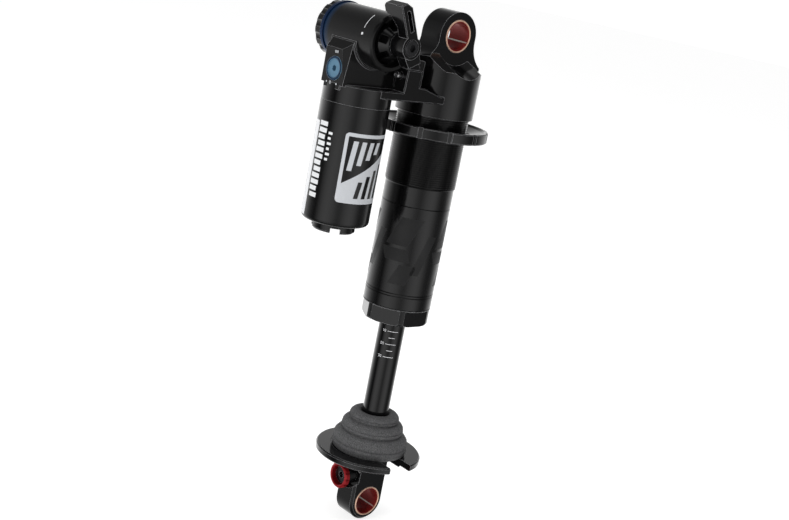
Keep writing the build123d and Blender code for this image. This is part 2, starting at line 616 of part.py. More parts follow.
# ---- Shaft assembly ---------------------------------------------------------------------------------
def damper_shaft():
    shaft = rod_z(SHAFT_FOOT_RADIUS, 9.0, PLATE_HUB_BOTTOM)
    shaft += rod_z(shaft_radius, PLATE_HUB_BOTTOM, SHAFT_SHOULDER)
    shaft += rod_z(PISTON_PIN_RADIUS, SHAFT_SHOULDER, SHAFT_TOP)
    shaft -= rod_x(DIAL_SPINDLE_RADIUS + RUNNING_GAP, -8, 0, 0, DIAL_Z)
    return shaft - rod_z(SHAFT_BORE, 8.0, SHAFT_TOP + 1)


def main_piston():
    radius = BORE_RADIUS - RUNNING_GAP
    root = radius - BAND_DEPTH
    piston = turned([(PISTON_PIN_RADIUS, PISTON_BOTTOM), (radius - 0.5, PISTON_BOTTOM),
                     (radius, PISTON_BOTTOM + 0.5), (radius, BAND_BOTTOM), (root, BAND_BOTTOM),
                     (root, BAND_TOP), (radius, BAND_TOP), (radius, PISTON_TOP),
                     (PISTON_PIN_RADIUS, PISTON_TOP)])
    port = rod_z(1.4, 110, 130, 8.6)
    return piston - around_z(port, 6)


def piston_band():
    radius = BORE_RADIUS - RUNNING_GAP
    return ring_z(radius + 0.03, radius - BAND_DEPTH, BAND_BOTTOM + 0.05, BAND_TOP - 0.05)


def rebound_shims():
    """Spring-steel discs under and over the main piston."""
    stack = [ring_z(radius, PISTON_PIN_RADIUS, low, low + 0.3)
             for radius, low in ((11.0, 115.7), (9.0, 115.4), (7.4, 115.1), (11.0, 124.0), (9.0, 124.3))]
    return Compound(stack)


def piston_nut():
    return hexagon_z(13.0, PISTON_TOP + 0.6, PISTON_TOP + 3.6) - rod_z(PISTON_PIN_RADIUS, 120.0, 130.0)


def rebound_rod():
    return rod_z(SHAFT_BORE - RUNNING_GAP, 17.0, PISTON_TOP)


def bottom_out_bumper():
    """Foam bumper in three swelling tiers, resting on the spring retainer."""
    bore = shaft_radius + 0.25
    low = BUMPER_SEAT_Z + 0.05
    return turned([(bore, low), (17.6, low), (18.3, low + 1.6), (18.5, 31.0), (17.9, 33.4),
                   (16.4, 35.0), (14.8, 35.6), (15.3, 37.6), (14.8, 39.6), (12.8, 40.9),
                   (11.9, 41.4), (12.3, 43.2), (11.2, 45.0), (9.6, BUMPER_TOP), (bore, BUMPER_TOP - 0.5)])


def spring_retainer():
    """C-shaped plate that carries the coil spring, open towards the front."""
    plate = turned([(0, PLATE_HUB_BOTTOM), (18.0, PLATE_HUB_BOTTOM), (19.0, PLATE_BOTTOM),
                    (PLATE_RADIUS - 0.5, PLATE_BOTTOM), (PLATE_RADIUS, PLATE_BOTTOM + 0.5),
                    (PLATE_RADIUS, PLATE_TOP - 0.6), (PLATE_RADIUS - 0.6, PLATE_TOP), (0, PLATE_TOP)])
    gap = shaft_radius + RUNNING_GAP
    plate -= rod_z(BUMPER_SEAT_RADIUS, BUMPER_SEAT_Z, 30.0)
    plate -= rod_z(gap, 20.0, 30.0)
    return plate - block(-gap, gap, -PLATE_RADIUS - 1, 0, 20.0, 30.0)


# ---- Lower eyelet ------------------------------------------------------------------------------------
def lower_eyelet():
    """Fork end with a round foot, a bevelled outline and a pocket for the rebound dial."""
    foot = rod_y(EYE_HALF_WIDTH, -eye_half, eye_half)
    stem = block(-EYE_HALF_WIDTH, EYE_HALF_WIDTH, -eye_half, eye_half, 0, PLATE_HUB_BOTTOM - 0.05)
    eyelet = foot + stem
    outline = [edge for edge in eyelet.edges()
               if abs(abs(edge.center().Y) - eye_half) < 0.01 and edge.center().Z < PLATE_HUB_BOTTOM - 1]
    eyelet = chamfer(outline, 1.2)
    eyelet -= rod_y(bush_radius, -20, 20)
    eyelet -= rod_z(SHAFT_FOOT_RADIUS, 9.0, PLATE_HUB_BOTTOM + 1)
    eyelet -= rod_x(DIAL_RADIUS + 0.6, -12, -7.5, 0, DIAL_Z)
    return eyelet - rod_x(DIAL_SPINDLE_RADIUS + RUNNING_GAP, -12, 0, 0, DIAL_Z)


def rebound_dial():
    """Red anodised ring pressed on the dial's core."""
    dial = rod_x(DIAL_RADIUS, DIAL_FRONT, DIAL_FRONT + DIAL_THICK, 0, DIAL_Z)
    dial = chamfer(dial.edges().filter_by(GeomType.CIRCLE), 0.6)
    dial -= rod_x(DIAL_CORE_RADIUS, DIAL_FRONT - 1, DIAL_FRONT + DIAL_THICK + 1, 0, DIAL_Z)
    dial = chamfer(dial.edges().filter_by(GeomType.CIRCLE).sort_by(Axis.X)[0:2], 0.35)
    notch = Pos(DIAL_FRONT, DIAL_RADIUS, DIAL_Z) * Box(2 * DIAL_THICK + 4, 0.9, 1.0)
    turns = [Pos(0, 0, DIAL_Z) * Rot(X=30.0 * n) * Pos(0, 0, -DIAL_Z) * notch for n in range(12)]
    return dial - Compound(turns)


def rebound_dial_core():
    """Black core of the rebound dial, with its hexagon socket and a spindle into the eyelet."""
    front = DIAL_FRONT + 2.2
    core = rod_x(DIAL_CORE_RADIUS, front, -8.0, 0, DIAL_Z)
    core = chamfer(core.edges().filter_by(GeomType.CIRCLE).sort_by(Axis.X)[0], 0.7)
    core += rod_x(DIAL_SPINDLE_RADIUS, -8.2, -3.2, 0, DIAL_Z)
    return core - hexagon_x(3.0, front - 1, front + 2.0, DIAL_Z)


# ---- Every separate piece, by the name of its node -----------------------------------------------------
def pieces():
    return {
        "head_casting": head_casting(),
        "upper_bush_shell": bush_shell(EYE_TO_EYE),
        "upper_bush_liner": bush_liner(EYE_TO_EYE),
        "damper_tube": damper_tube(),
        "seal_head": seal_head(),
        "wiper_seal": wiper_seal(),
        "oil_seal": oil_seal(),
        "shaft_guide_bush": shaft_guide_bush(),
        "top_out_bumper": top_out_bumper(),
        "reservoir_can": reservoir_can(),
        "charge_valve": charge_valve(),
        "valve_guard": valve_guard(),
        "floating_piston": floating_piston(),
        "floating_piston_seal": floating_piston_seal(),
        "compression_barrel": compression_barrel(),
        "compression_valve": compression_valve(),
        "compression_shims": compression_shims(),
        "lever_bezel": lever_bezel(),
        "threshold_lever": threshold_lever(),
        "lever_spindle": lever_spindle(),
        "lever_bolt": lever_bolt(),
        "low_speed_ring": low_speed_ring(),
        "low_speed_knob": low_speed_knob(),
        "low_speed_needle": low_speed_needle(),
        "high_speed_adjuster": high_speed_adjuster(),
        "stop_screw": stop_screw(),
        "preload_collar": preload_collar(),
        "collar_friction_ring": collar_friction_ring(),
        "damper_shaft": damper_shaft(),
        "main_piston": main_piston(),
        "piston_band": piston_band(),
        "rebound_shims": rebound_shims(),
        "piston_nut": piston_nut(),
        "rebound_rod": rebound_rod(),
        "bottom_out_bumper": bottom_out_bumper(),
        "spring_retainer": spring_retainer(),
        "lower_eyelet": lower_eyelet(),
        "lower_bush_shell": bush_shell(0),
        "lower_bush_liner": bush_liner(0),
        "rebound_dial": rebound_dial(),
        "rebound_dial_core": rebound_dial_core(),
    }


os.makedirs("parts", exist_ok=True)
for name, piece in pieces().items():
    export_step(piece, os.path.join("parts", name + ".step"))
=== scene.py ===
import json
import math

import bmesh
import bpy
from mathutils import Matrix, Vector, noise

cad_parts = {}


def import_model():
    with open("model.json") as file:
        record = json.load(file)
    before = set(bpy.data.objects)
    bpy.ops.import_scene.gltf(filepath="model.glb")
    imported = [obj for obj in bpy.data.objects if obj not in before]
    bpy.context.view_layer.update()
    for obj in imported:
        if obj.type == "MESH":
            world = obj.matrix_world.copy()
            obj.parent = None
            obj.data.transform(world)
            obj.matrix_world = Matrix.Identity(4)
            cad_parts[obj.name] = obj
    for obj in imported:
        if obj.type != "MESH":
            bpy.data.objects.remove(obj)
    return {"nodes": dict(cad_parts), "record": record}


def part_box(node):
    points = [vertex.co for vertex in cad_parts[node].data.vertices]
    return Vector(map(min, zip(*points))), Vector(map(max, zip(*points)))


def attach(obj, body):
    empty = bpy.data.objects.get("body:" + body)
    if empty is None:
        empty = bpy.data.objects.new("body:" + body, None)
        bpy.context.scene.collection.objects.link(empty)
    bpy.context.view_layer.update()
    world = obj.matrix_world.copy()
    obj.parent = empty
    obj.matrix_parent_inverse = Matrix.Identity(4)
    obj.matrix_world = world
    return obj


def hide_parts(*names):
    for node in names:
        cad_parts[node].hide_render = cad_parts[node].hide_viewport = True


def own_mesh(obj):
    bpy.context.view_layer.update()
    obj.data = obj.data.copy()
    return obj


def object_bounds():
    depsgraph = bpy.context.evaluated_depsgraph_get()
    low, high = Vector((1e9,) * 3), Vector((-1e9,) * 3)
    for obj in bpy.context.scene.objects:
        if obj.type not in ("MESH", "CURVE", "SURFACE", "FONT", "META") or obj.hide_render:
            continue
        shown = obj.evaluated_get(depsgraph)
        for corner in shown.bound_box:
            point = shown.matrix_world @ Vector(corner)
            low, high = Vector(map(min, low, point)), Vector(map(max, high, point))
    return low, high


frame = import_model()
cad_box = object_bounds()

# Rear shock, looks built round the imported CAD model. The frame is in metres: origin at the lower
# eyelet's bore, +Z up the damper's axis, both eyelet bores along Y, reservoir on the -X side.
# Sizes are in millimetres and turned into metres by MM; only the floor and the lamps are in metres.
MM = 0.001

# ---- Camera, as the photographer's: angles of the view and where the lens stands -----------------
CAMERA_AZIMUTH = -43.02
CAMERA_ELEVATION = 13.28
CAMERA_ROLL = 10.955
CAMERA_PLACE = (-427.1, -450.65, 267.7)
CAMERA_LENS = 61.27
SENSOR_WIDTH = 36.0


def node_box(name):
    """Lowest and highest corner of a CAD node, in millimetres."""
    low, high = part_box(name)
    return low / MM, high / MM


# ---- Places taken from the frame -----------------------------------------------------------------
can_low, can_high = node_box("reservoir_can")
CAN_X = (can_low.x + can_high.x) / 2
CAN_RADIUS = (can_high.x - can_low.x) / 2
tube_low, tube_high = node_box("damper_tube")
THREAD_RADIUS = (tube_high.x - tube_low.x) / 2
TUBE_RADIUS = THREAD_RADIUS - 0.5
THREAD_DEPTH = 0.55
THREAD_PITCH = 1.0
THREAD_LOW = 159.5
NECK_RADIUS = 15.8
TUBE_BORE = 13.5
RIDGE_RINGS = (107.7, 108.9, 150.6)
RIDGE_HALF = 0.25
RIDGE_DEPTH = 0.2
barrel_low, barrel_high = node_box("compression_barrel")
BARREL_Z = (barrel_low.z + barrel_high.z) / 2
BARREL_RADIUS = (barrel_high.z - barrel_low.z) / 2
BLUE_FADE_START = 11.8
shaft_low, shaft_high = node_box("damper_shaft")
SHAFT_RADIUS = (shaft_high.x - shaft_low.x) / 2
head_low = node_box("head_casting")[0]
HEAD_BOTTOM = 193.4
THREAD_HIGH = HEAD_BOTTOM - 0.6
bumper_low, bumper_high = node_box("bottom_out_bumper")
dial_low, dial_high = node_box("high_speed_adjuster")
bush_low, bush_high = node_box("upper_bush_shell")
EYE_TO_EYE = (bush_low.z + bush_high.z) / 2
EYE_HALF = bush_high.y
LINER_BORE = 6.35


# ---- Node-tree helpers ---------------------------------------------------------------------------
class Paint:
    """A material's node tree, with short calls for the nodes that the finishes use."""

    def __init__(self, name):
        self.material = bpy.data.materials.new(name)
        self.material.use_nodes = True
        self.nodes = self.material.node_tree.nodes
        self.links = self.material.node_tree.links
        self.nodes.clear()
        self.shader = self.nodes.new("ShaderNodeBsdfPrincipled")
        output = self.nodes.new("ShaderNodeOutputMaterial")
        self.links.new(self.shader.outputs[0], output.inputs[0])
        self.place = self.nodes.new("ShaderNodeTexCoord").outputs["Object"]

    def set(self, **values):
        for name, value in values.items():
            self.shader.inputs[name.replace("_", " ")].default_value = value

    def link(self, output, name):
        self.links.new(output, self.shader.inputs[name])

    def noise(self, scale, detail=3.0, stretch=(1, 1, 1), rough=0.5):
        """Noise over the object, with scale in features per metre."""
        mapping = self.nodes.new("ShaderNodeMapping")
        mapping.inputs["Scale"].default_value = stretch
        self.links.new(self.place, mapping.inputs["Vector"])
        texture = self.nodes.new("ShaderNodeTexNoise")
        texture.inputs["Scale"].default_value = scale
        texture.inputs["Detail"].default_value = detail
        texture.inputs["Roughness"].default_value = rough
        self.links.new(mapping.outputs[0], texture.inputs["Vector"])
        return texture.outputs["Fac"]

    def cells(self, scale):
        texture = self.nodes.new("ShaderNodeTexVoronoi")
        texture.inputs["Scale"].default_value = scale
        self.links.new(self.place, texture.inputs["Vector"])
        return texture.outputs["Distance"]

    def span(self, value, low, high, start=0.0, end=1.0):
        """Map a 0-1 value onto a low-high range."""
        node = self.nodes.new("ShaderNodeMapRange")
        node.inputs["From Min"].default_value = start
        node.inputs["From Max"].default_value = end
        node.inputs["To Min"].default_value = low
        node.inputs["To Max"].default_value = high
        self.links.new(value, node.inputs["Value"])
        return node.outputs[0]

    def blend(self, factor, dark, light):
        node = self.nodes.new("ShaderNodeMix")
        node.data_type = "RGBA"
        node.inputs["A"].default_value = (*dark, 1)
        node.inputs["B"].default_value = (*light, 1)
        self.links.new(factor, node.inputs["Factor"])
        return node.outputs["Result"]

    def relief(self, height, depth_mm, strength=1.0, edge_mm=0.0):
        """Bump of a height map, over rounded-off edges."""
        bump = self.nodes.new("ShaderNodeBump")
        bump.inputs["Strength"].default_value = strength
        bump.inputs["Distance"].default_value = depth_mm * MM
        self.links.new(height, bump.inputs["Height"])
        if edge_mm:
            self.links.new(self.rounded_normal(edge_mm), bump.inputs["Normal"])
        self.link(bump.outputs[0], "Normal")

    def rounded_normal(self, edge_mm):
        bevel = self.nodes.new("ShaderNodeBevel")
        bevel.samples = 6
        bevel.inputs["Radius"].default_value = edge_mm * MM
        return bevel.outputs[0]

    def edge_mask(self, edge_mm):
        """1 close to a sharp edge and 0 away from it."""
        match = self.nodes.new("ShaderNodeVectorMath")
        match.operation = "DOT_PRODUCT"
        self.links.new(self.rounded_normal(edge_mm), match.inputs[0])
        self.links.new(self.nodes.new("ShaderNodeNewGeometry").outputs["Normal"], match.inputs[1])
        return self.span(match.outputs["Value"], 1.0, 0.0, 0.9, 0.995)

    def painted_edge_highlight(self, colour_socket, edge_mm, highlight_colour):
        """Lighten a colour along the edges: a painted highlight standing in for the light that the edges
        catch.
        """
        node = self.nodes.new("ShaderNodeMix")
        node.data_type = "RGBA"
        node.inputs["B"].default_value = (*highlight_colour, 1)
        self.links.new(colour_socket, node.inputs["A"])
        self.links.new(self.edge_mask(edge_mm), node.inputs["Factor"])
        return node.outputs["Result"]


# Colour of the painted highlight along edges, standing in for the light that the edges catch.
EDGE_HIGHLIGHT_COLOUR = (0.3, 0.3, 0.31)
GRAIN_SCALE = 4200
GRAIN_DEPTH = 0.0015


def coated_metal(name, colour, rough, metallic=0.0, edge_mm=0.3, specular=0.5, turned=False, edge_highlight_mm=0.0):
    """Anodised or coated metal: fine grain, slight change of gloss, softened edges, and, if asked, edges
    lightened by a painted highlight.
    """
    paint = Paint(name)
    light = tuple(min(1.0, c * 1.4 + 0.0006) for c in colour)
    cloud = paint.noise(90, 4.0)
    tint = paint.blend(cloud, colour, light)
    # Painted highlight: the base colour is lightened near sharp edges.
    if edge_highlight_mm:
        tint = paint.painted_edge_highlight(tint, edge_highlight_mm, EDGE_HIGHLIGHT_COLOUR)
    paint.link(tint, "Base Color")
    paint.link(paint.span(cloud, rough * 0.85, rough * 1.15, 0.3, 0.7), "Roughness")
    stretch = (0.05, 0.05, 1.0) if turned else (1, 1, 1)
    paint.relief(paint.noise(GRAIN_SCALE, 2.0, stretch), GRAIN_DEPTH, 0.5, edge_mm)
    paint.set(Metallic=metallic, Specular_IOR_Level=specular)
    return paint.material


def barrel_finish():
    """Satin black that fades into blue anodising towards the low-speed dial."""
    paint = Paint("barrel_black")
    split = paint.nodes.new("ShaderNodeSeparateXYZ")
    paint.links.new(paint.place, split.inputs[0])
    fade = paint.span(split.outputs["Y"], 0.0, 1.0, BLUE_FADE_START * MM, barrel_high.y * MM)
    paint.link(paint.blend(fade, (0.003, 0.003, 0.0032), (0.01, 0.035, 0.09)), "Base Color")
    paint.link(paint.span(fade, 0.0, 0.5), "Metallic")
    paint.relief(paint.noise(GRAIN_SCALE, 2.0), GRAIN_DEPTH, 0.5, 0.35)
    paint.set(Roughness=0.24)
    return paint.material


def printed_ink(name, colour, rough):
    """Printed or laser-marked area, a little uneven."""
    paint = Paint(name)
    dark = tuple(c * 0.88 for c in colour)
    grain = paint.noise(1500, 3.0)
    paint.link(paint.blend(grain, dark, colour), "Base Color")
    paint.link(paint.span(grain, rough * 0.9, rough * 1.1), "Roughness")
    return paint.material


def foam():
    """Grey microcellular foam: speckled, with tiny open cells."""
    paint = Paint("foam")
    speckle = paint.noise(2600, 4.0, rough=0.7)
    paint.link(paint.blend(paint.span(speckle, 0, 1, 0.35, 0.68), (0.035, 0.035, 0.037),
                           (0.185, 0.185, 0.188)), "Base Color")
    paint.relief(paint.cells(2400), 0.12, 0.8)
    paint.set(Roughness=0.85, Specular_IOR_Level=0.25)
    return paint.material


def rubber():
    paint = Paint("rubber")
    grain = paint.noise(2500, 3.0)
    paint.link(paint.blend(grain, (0.008, 0.008, 0.008), (0.02, 0.02, 0.02)), "Base Color")
    paint.relief(grain, 0.01, 0.5)
    paint.set(Roughness=0.6)
    return paint.material


MATERIALS = {
    # The gloss black gets a painted highlight along its edges.
    "gloss_black": coated_metal("gloss_black", (0.0024, 0.0024, 0.0026), 0.13, edge_mm=0.35,
                                edge_highlight_mm=0.32),
    "bezel_black": coated_metal("bezel_black", (0.002, 0.002, 0.0022), 0.12, edge_mm=0.3),
    "satin_black": coated_metal("satin_black", (0.003, 0.003, 0.0032), 0.19, edge_mm=0.3, turned=True),
    "barrel_black": barrel_finish(),
    "tube_black": coated_metal("tube_black", (0.003, 0.003, 0.0032), 0.17, edge_mm=0.0, turned=True),
    "shaft_black": coated_metal("shaft_black", (0.0024, 0.0024, 0.0026), 0.1, turned=True),
    "dark_steel": coated_metal("dark_steel", (0.03, 0.03, 0.032), 0.25, metallic=0.6),
    "steel": coated_metal("steel", (0.5, 0.5, 0.51), 0.25, metallic=1.0),
    "plain_aluminium": coated_metal("plain_aluminium", (0.6, 0.6, 0.62), 0.3, metallic=1.0, turned=True),
    "blue": coated_metal("blue", (0.005, 0.02, 0.065), 0.22, metallic=0.6),
    "light_blue": coated_metal("light_blue", (0.1, 0.21, 0.31), 0.36, metallic=0.3),
    "dark_blue": coated_metal("dark_blue", (0.012, 0.035, 0.075), 0.25, metallic=0.5),
    "red": coated_metal("red", (0.3, 0.01, 0.014), 0.22, metallic=0.5),
    "bronze": coated_metal("bronze", (0.9, 0.52, 0.38), 0.3, metallic=0.55, edge_mm=0.15),
    "liner_red": coated_metal("liner_red", (0.2, 0.014, 0.012), 0.24, metallic=0.35, edge_mm=0.1),
    "brass": coated_metal("brass", (0.6, 0.42, 0.16), 0.25, metallic=1.0),
    "rubber": rubber(),
    "nylon": coated_metal("nylon", (0.01, 0.01, 0.01), 0.45),
    "foam": foam(),
    "white_ink": printed_ink("white_ink", (0.85, 0.86, 0.88), 0.4),
    "silver_ink": printed_ink("silver_ink", (0.62, 0.64, 0.67), 0.35),
    "dark_ink": printed_ink("dark_ink", (0.004, 0.004, 0.0045), 0.25),
    "pattern": coated_metal("pattern", (0.005, 0.005, 0.0053), 0.5, edge_mm=0.0, turned=True),
    "bright_seam": coated_metal("bright_seam", (0.8, 0.72, 0.66), 0.3, metallic=1.0, edge_mm=0.0),
}


OWN_FINISH = {"compression_barrel": "barrel_black", "lever_bezel": "bezel_black"}


def paint_cad_nodes():
    """Give every CAD node the material of the slot that the record names for it."""
    for part in frame["record"]["subparts"]:
        node = frame["nodes"][part["node"]]
        node.data.materials.clear()
        finish = OWN_FINISH.get(part["node"], part["material_slot"])
        node.data.materials.append(MATERIALS[finish])


# ---- Mesh helpers --------------------------------------------------------------------------------
def add_piece(name, mesh, body, material, smooth_angle=35):
    """Put a mesh in the scene, painted, riding on a CAD body."""
    mesh.polygons.foreach_set("use_smooth", [True] * len(mesh.polygons))
    mesh.set_sharp_from_angle(angle=math.radians(smooth_angle))
    mesh.materials.append(MATERIALS[material])
    piece = bpy.data.objects.new(name, mesh)
    bpy.context.scene.collection.objects.link(piece)
    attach(piece, body)
    return piece


def mesh_from(name, points, faces):
    mesh = bpy.data.meshes.new(name)
    mesh.from_pydata([tuple(c * MM for c in p) for p in points], [], faces)
    mesh.validate()
    return mesh


def revolved(name, rows, columns, radius_at):
    """Closed ring of quads: rows are heights, radius_at gives a radius for a row and an angle."""
    points = []
    for row in rows:
        for column in range(columns):
            turn = 2 * math.pi * column / columns
            radius, height = radius_at(row, turn)
            points.append((radius * math.cos(turn), radius * math.sin(turn), height))
    faces = []
    for r in range(len(rows)):
        below = (r + 1) % len(rows)
        for c in range(columns):
            beside = (c + 1) % columns
            faces.append((r * columns + c, r * columns + beside, below * columns + beside,
                          below * columns + c))
    return mesh_from(name, points, faces)


# ---- Threaded damper tube ------------------------------------------------------------------------
def thread_height(turns):
    """Height of the thread over one pitch: flat crest at 1, narrow groove down to 0."""
    position = abs(2 * (turns % 1.0) - 1)
    return min(1.0, max(0.0, (1 - position) * 2.0 - 0.5))


def damper_tube():
    """Tube with a true right-hand helical thread where the preload collar screws."""
    bottom = tube_low.z
    rows = [("plain", TUBE_BORE, bottom), ("plain", TUBE_RADIUS - 0.3, bottom),
            ("plain", TUBE_RADIUS, bottom + 0.3)]
    for ridge in RIDGE_RINGS:
        rows += [("plain", TUBE_RADIUS, ridge - RIDGE_HALF), ("plain", TUBE_RADIUS - RIDGE_DEPTH, ridge),
                 ("plain", TUBE_RADIUS, ridge + RIDGE_HALF)]
    rows += [("plain", TUBE_RADIUS, THREAD_LOW)]
    steps = 9
    count = int((THREAD_HIGH - THREAD_LOW) / THREAD_PITCH * steps)
    rows += [("thread", 0, THREAD_LOW + 0.05 + THREAD_PITCH * n / steps) for n in range(count)]
    rows += [("plain", THREAD_RADIUS - THREAD_DEPTH, HEAD_BOTTOM), ("plain", NECK_RADIUS, HEAD_BOTTOM),
             ("plain", NECK_RADIUS, tube_high.z), ("plain", TUBE_BORE, tube_high.z)]

    def radius_at(row, turn):
        kind, radius, height = row
        if kind == "plain":
            return radius, height
        fade = min(1.0, height - THREAD_LOW)
        rise = thread_height(height / THREAD_PITCH - turn / (2 * math.pi))
        root = THREAD_RADIUS - THREAD_DEPTH
        return root + fade * THREAD_DEPTH * rise + (1 - fade) * (TUBE_RADIUS - root), height

    tube = add_piece("threaded_damper_tube", revolved("threaded_damper_tube", rows, 160, radius_at),
                     "damper_body", "tube_black", 28)
    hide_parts("damper_tube")


# ---- Foam bumper ---------------------------------------------------------------------------------
FOAM_UNEVEN = 0.06


def bumper_profile():
    """Outside of the bumper from the base up, as radius and height: three ridged tiers."""
    base = bumper_low.z
    return [(17.4, base), (18.0, base + 0.5), (18.0, 27.6), (18.5, 28.5), (18.5, 29.4),
            (17.95, 29.9), (18.4, 30.4), (18.35, 31.4), (17.9, 32.9), (16.9, 34.1),
            (15.9, 34.8), (14.3, 35.2), (14.2, 35.6),
            (14.9, 36.1), (15.3, 36.8), (15.2, 37.4), (14.7, 37.8), (15.1, 38.2),
            (14.9, 39.0), (14.2, 39.9), (12.9, 40.6), (11.5, 40.9),
            (11.4, 41.3), (12.1, 41.9), (12.3, 42.5), (11.8, 42.9), (12.15, 43.3),
            (11.8, 44.0), (11.0, 44.8), (9.6, bumper_high.z)]


def foam_bumper():
    """Bumper with slightly uneven moulded foam skin."""
    bore = SHAFT_RADIUS + 0.5
    top = bumper_high.z
    lip = [(7.9, top), (bore + 0.4, top - 0.3), (bore, top - 1.0)]
    rows = [(bore, bumper_low.z)] + bumper_profile() + lip

    def radius_at(row, turn):
        radius, height = row
        if radius <= bore + 1.6:
            return radius, height
        around = Vector((math.cos(turn) * 6, math.sin(turn) * 6, height * 0.8))
        return radius + FOAM_UNEVEN * noise.noise(around), height

    mesh = revolved("foam_bumper", rows, 144, radius_at)
    bumper = add_piece("foam_bumper", mesh, "shaft", "foam", 60)
    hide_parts("bottom_out_bumper")
    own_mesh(bumper)


# ---- Flat artwork wrapped on round surfaces ------------------------------------------------------
def rounded_rectangle(left, right, low, high, radius, steps=6):
    corners = [(right - radius, high - radius, 0), (left + radius, high - radius, 90),
               (left + radius, low + radius, 180), (right - radius, low + radius, 270)]
    points = []
    for x, y, start in corners:
        for step in range(steps + 1):
            turn = math.radians(start + 90 * step / steps)
            points.append((x + radius * math.cos(turn), y + radius * math.sin(turn)))
    return points


def disc_outline(x, y, radius, steps=20):
    turns = [2 * math.pi * n / steps for n in range(steps)]
    return [(x + radius * math.cos(t), y + radius * math.sin(t)) for t in turns]


def slanted_bar(left, right, low, high, lean):
    return [(left, low), (right, low), (right + lean, high), (left + lean, high)]


def flat_art(outlines, step=1.0):
    """Flat mesh of filled outlines, cut into strips so that it can be wrapped round a cylinder."""
    art = bmesh.new()
    for outline in outlines:
        art.faces.new([art.verts.new((x, y, 0)) for x, y in outline])
    xs = [v.co.x for v in art.verts]
    cut = min(xs) + step
    while cut < max(xs):
        geometry = art.verts[:] + art.edges[:] + art.faces[:]
        bmesh.ops.bisect_plane(art, geom=geometry, plane_co=(cut, 0, 0), plane_no=(1, 0, 0))
        cut += step
    bmesh.ops.triangulate(art, faces=art.faces[:])
    return art


def finish_art(art, name, body, material, to_surface):
    for vert in art.verts:
        vert.co = Vector(to_surface(vert.co.x, vert.co.y)) * MM
    bmesh.ops.recalc_face_normals(art, faces=art.faces[:])
    mesh = bpy.data.meshes.new(name)
    art.to_mesh(mesh)
    art.free()
    return add_piece(name, mesh, body, material, smooth_angle=60)


def upright_wrap(centre_x, radius, angle, lift=0.03):
    """Wrap onto a cylinder about Z: x runs round it from the given plan angle, y runs up it."""
    start = math.radians(angle)

    def place(x, y):
        turn = start + x / radius
        return (centre_x + (radius + lift) * math.cos(turn), (radius + lift) * math.sin(turn), y)

    return place


def barrel_wrap(angle, lift=0.03):
    """Wrap onto the compression barrel: x runs round it, y runs along Y."""
    start = math.radians(angle)

    def place(x, y):
        turn = start + x / BARREL_RADIUS
        radius = BARREL_RADIUS + lift
        return (CAN_X + radius * math.cos(turn), y, BARREL_Z + radius * math.sin(turn))

    return place


def number_art(text, size):
    """Outline mesh of a plain number, centred on its middle."""
    curve = bpy.data.curves.new("number", "FONT")
    curve.body = text
    curve.size = size
    curve.align_x = "CENTER"
    curve.align_y = "CENTER"
    holder = bpy.data.objects.new("number", curve)
    mesh = bpy.data.meshes.new_from_object(holder)
    art = bmesh.new()
    art.from_mesh(mesh)
    bpy.data.objects.remove(holder)
    bpy.data.meshes.remove(mesh)
    bpy.data.curves.remove(curve)
    return art


def shift_art(art, x, y):
    bmesh.ops.transform(art, matrix=Matrix.Translation((x, y, 0)), verts=art.verts[:])
    return art


# ---- Printed marks -------------------------------------------------------------------------------
SAG_WIDTH = 0.24
SAG_EDGE = 94.3
SAG_STEP = 3.22
SAG_ANGLE = -124.0
SAG_LONG = 2.6
SAG_SHORT = 1.5
NUMBER_SIZE = 1.9
NUMBER_X = -4.3


def sag_marks():
    """Travel scale on the shaft: long marks with numbers, short marks between."""
    wrap = upright_wrap(0, SHAFT_RADIUS, SAG_ANGLE, 0.02)
    bars = []
    for n in range(5):
        height = SAG_EDGE - SAG_STEP * (n + 2)
        half = SAG_LONG if n % 2 == 0 else SAG_SHORT
        bars.append(slanted_bar(-half, half, height - SAG_WIDTH / 2, height + SAG_WIDTH / 2, 0))
    finish_art(flat_art(bars, 0.4), "sag_marks", "shaft", "white_ink", wrap)
    for n, text in ((0, "10"), (2, "20"), (4, "30")):
        art = shift_art(number_art(text, NUMBER_SIZE), NUMBER_X, SAG_EDGE - SAG_STEP * (n + 2))
        finish_art(art, "sag_number_" + text, "shaft", "white_ink", wrap)


LABEL_HALF_ANGLE = 46
LABEL_LOW = 153.0
LABEL_HIGH = 184.0
LABEL_CORNER = 1.8
LABEL_BORDER = 1.5
LABEL_LIFTS = (0.03, 0.05, 0.07)
# The dark corner's lower edge climbs from left to right, and the bars follow a slope like it.
CORNER_EDGE = (161.5, 176.0)
BAR_WIDTH = 2.2
BAR_LEAN = 1.2
BAR_RISE = 0.66
LIGHT_BARS = (-9.6, -5.6, -1.6, 2.4)
LIGHT_HEIGHTS = (166.6, 180.6)
DARK_BARS = (-4.4, -0.4, 3.6, 7.6)
DARK_HEIGHTS = (155.4, 158.6)


def reservoir_label():
    """Plain label on the front of the can: a light plate cut by a dark corner and slanted bars."""
    half = math.radians(LABEL_HALF_ANGLE) * CAN_RADIUS
    plate = rounded_rectangle(-half, half, LABEL_LOW, LABEL_HIGH, LABEL_CORNER)
    under, over, top = (upright_wrap(CAN_X, CAN_RADIUS, -90, lift) for lift in LABEL_LIFTS)
    finish_art(flat_art([plate]), "label_plate", "damper_body", "silver_ink", under)
    left, right = -half + LABEL_BORDER, half - LABEL_BORDER
    edge = LABEL_HIGH - 1.6
    corner = [(left, CORNER_EDGE[0]), (right, CORNER_EDGE[1]), (right, edge), (left, edge)]
    finish_art(flat_art([corner]), "label_dark_corner", "damper_body", "dark_ink", over)
    low, high = LIGHT_HEIGHTS
    light = [slanted_bar(x, x + BAR_WIDTH, low + BAR_RISE * (x - left), high, BAR_LEAN)
             for x in LIGHT_BARS]
    finish_art(flat_art(light), "label_light_bars", "damper_body", "silver_ink", top)
    low, high = DARK_HEIGHTS
    dark = [slanted_bar(x, x + BAR_WIDTH, low, high + BAR_RISE * (x - left), BAR_LEAN)
            for x in DARK_BARS]
    finish_art(flat_art(dark), "label_dark_bars", "damper_body", "dark_ink", over)


